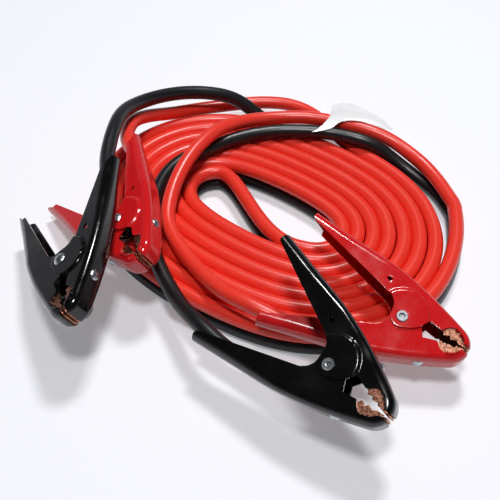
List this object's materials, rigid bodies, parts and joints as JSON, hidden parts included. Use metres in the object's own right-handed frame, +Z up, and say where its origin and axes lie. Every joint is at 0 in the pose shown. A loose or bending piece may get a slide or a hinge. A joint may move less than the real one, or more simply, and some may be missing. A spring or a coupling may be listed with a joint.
{
  "type": "booster cables",
  "caption": "Coiled heavy-duty booster cables with red and black conductors and sprung clamps with copper-lined jaws.",
  "frame": {"origin": "bottom centre of the box round the clamps and their fittings, on the ground that the coil lies on", "axes": "+Z up, square to the ground; +X along the long side of the clamps' spread, from the left clamps to the red front clamp; +Y from the front clamps towards the back of the coil"},
  "size_m": [0.3694, 0.3917, 0.0865],
  "materials": {
    "red_insulation": "satin",
    "black_insulation": "satin",
    "red_paint": "gloss",
    "black_paint": "gloss",
    "copper": "satin",
    "zinc_rivet": "satin",
    "spring_steel": "oiled black",
    "label_paper": "matte"
  },
  "bodies": {
    "cable_set": {"red_coil": "red_insulation", "black_coil": "black_insulation", "front_red_lead": "red_insulation", "front_black_lead": "black_insulation", "left_red_lead": "red_insulation", "left_black_lead": "black_insulation", "label": "label_paper", "front_red_cable_half": "red_paint", "front_red_cable_jaw": "copper", "front_red_pivot_rivet": "zinc_rivet", "front_red_spring": "spring_steel", "front_red_cable_rivet": "zinc_rivet", "front_red_lug": "copper", "front_black_cable_half": "black_paint", "front_black_cable_jaw": "copper", "front_black_pivot_rivet": "zinc_rivet", "front_black_spring": "spring_steel", "front_black_cable_rivet": "zinc_rivet", "front_black_lug": "copper", "left_red_cable_half": "red_paint", "left_red_cable_jaw": "copper", "left_red_pivot_rivet": "zinc_rivet", "left_red_spring": "spring_steel", "left_red_cable_rivet": "zinc_rivet", "left_red_lug": "copper", "left_black_cable_half": "black_paint", "left_black_cable_jaw": "copper", "left_black_pivot_rivet": "zinc_rivet", "left_black_spring": "spring_steel", "left_black_cable_rivet": "zinc_rivet", "left_black_lug": "copper"},
    "front_red_free_side": {"front_red_free_half": "red_paint", "front_red_free_jaw": "copper", "front_red_free_rivet": "zinc_rivet"},
    "front_black_free_side": {"front_black_free_half": "black_paint", "front_black_free_jaw": "copper", "front_black_free_rivet": "zinc_rivet"},
    "left_red_free_side": {"left_red_free_half": "red_paint", "left_red_free_jaw": "copper", "left_red_free_rivet": "zinc_rivet"},
    "left_black_free_side": {"left_black_free_half": "black_paint", "left_black_free_jaw": "copper", "left_black_free_rivet": "zinc_rivet"}
  },
  "joints": [
    {"name": "front_red_clamp_opens", "type": "hinge", "parent": "cable_set", "child": "front_red_free_side", "pos_m": [0.126, -0.044, 0.0355], "axis": [-0.0128, -0.3135, 0.9495], "range_deg": [0, 30], "stiffness_Nm_per_rad": 3, "springref_deg": -34.38, "deforming": ["front_red_spring"]},
    {"name": "front_black_clamp_opens", "type": "hinge", "parent": "cable_set", "child": "front_black_free_side", "pos_m": [0.073, -0.098, 0.0535], "axis": [-0.3194, -0.3241, 0.8905], "range_deg": [0, 30], "stiffness_Nm_per_rad": 3, "springref_deg": -34.38, "deforming": ["front_black_spring"]},
    {"name": "left_red_clamp_opens", "type": "hinge", "parent": "cable_set", "child": "left_red_free_side", "pos_m": [-0.0775, 0.0395, 0.0485], "axis": [0.5144, 0.0554, -0.8558], "range_deg": [0, 30], "stiffness_Nm_per_rad": 3, "springref_deg": -34.38, "deforming": ["left_red_spring"]},
    {"name": "left_black_clamp_opens", "type": "hinge", "parent": "cable_set", "child": "left_black_free_side", "pos_m": [-0.1115, -0.0095, 0.0555], "axis": [0.5456, 0.0394, -0.8371], "range_deg": [0, 30], "stiffness_Nm_per_rad": 3, "springref_deg": -34.38, "deforming": ["left_black_spring"]}
  ]
}
